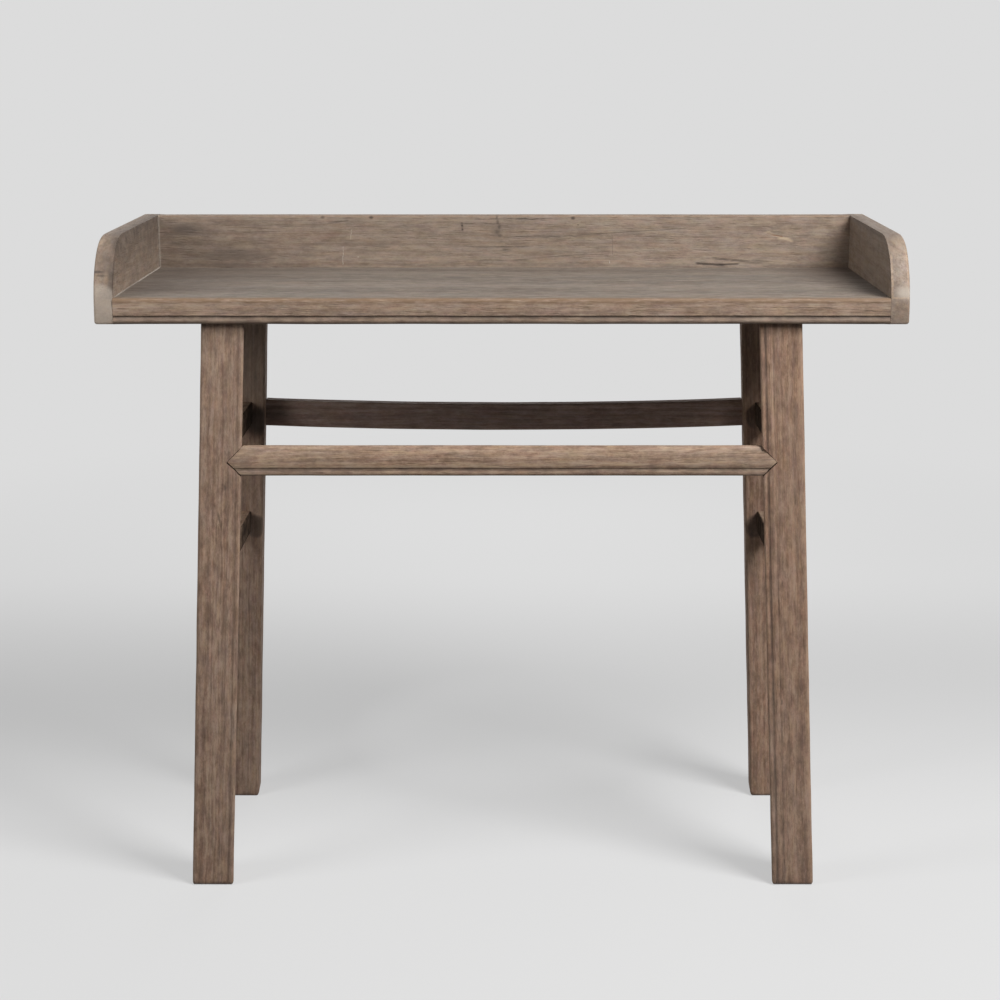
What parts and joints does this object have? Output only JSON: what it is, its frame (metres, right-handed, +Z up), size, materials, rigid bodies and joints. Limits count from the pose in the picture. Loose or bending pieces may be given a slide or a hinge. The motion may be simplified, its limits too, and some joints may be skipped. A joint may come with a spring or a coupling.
{
  "type": "hall table",
  "caption": "Narrow wooden hall table with splayed square legs, stretchers on all four sides, a beaded front edge and a low gallery with curved ends around the top.",
  "frame": {"origin": "on the floor, under the middle of the table", "axes": "+X to the right seen from the front, +Y toward the back board, +Z up"},
  "size_m": [1.02, 0.3806, 0.854],
  "materials": {
    "top_elm": "worn grey-brown elm, matt, with fine grain and scratches",
    "gallery_elm": "worn grey-brown elm, matt, with knots and old cracks",
    "leg_elm": "brown elm, matt, grain along the leg",
    "stretcher_elm": "warm brown elm, matt, grain along the stretcher",
    "joinery_elm": "raw wood, unfinished, hidden in the joints and under the top"
  },
  "bodies": {
    "root": {"back_board": "gallery_elm", "front_left_leg": "leg_elm", "front_left_wedge": "joinery_elm", "front_right_leg": "leg_elm", "front_right_wedge": "joinery_elm", "front_stretcher": "stretcher_elm", "front_top_plank": "top_elm", "left_back_dowel_1": "joinery_elm", "left_back_dowel_2": "joinery_elm", "left_batten": "joinery_elm", "left_corner_dowel_lower": "joinery_elm", "left_corner_dowel_upper": "joinery_elm", "left_end_board": "gallery_elm", "left_end_dowel_1": "joinery_elm", "left_end_dowel_2": "joinery_elm", "left_end_dowel_3": "joinery_elm", "left_end_dowel_4": "joinery_elm", "left_lower_stretcher": "stretcher_elm", "left_upper_stretcher": "stretcher_elm", "rear_left_leg": "leg_elm", "rear_left_wedge": "joinery_elm", "rear_right_leg": "leg_elm", "rear_right_wedge": "joinery_elm", "rear_stretcher": "stretcher_elm", "rear_top_plank": "top_elm", "right_back_dowel_1": "joinery_elm", "right_back_dowel_2": "joinery_elm", "right_batten": "joinery_elm", "right_corner_dowel_lower": "joinery_elm", "right_corner_dowel_upper": "joinery_elm", "right_end_board": "gallery_elm", "right_end_dowel_1": "joinery_elm", "right_end_dowel_2": "joinery_elm", "right_end_dowel_3": "joinery_elm", "right_end_dowel_4": "joinery_elm", "right_lower_stretcher": "stretcher_elm", "right_upper_stretcher": "stretcher_elm"}
  },
  "joints": []
}
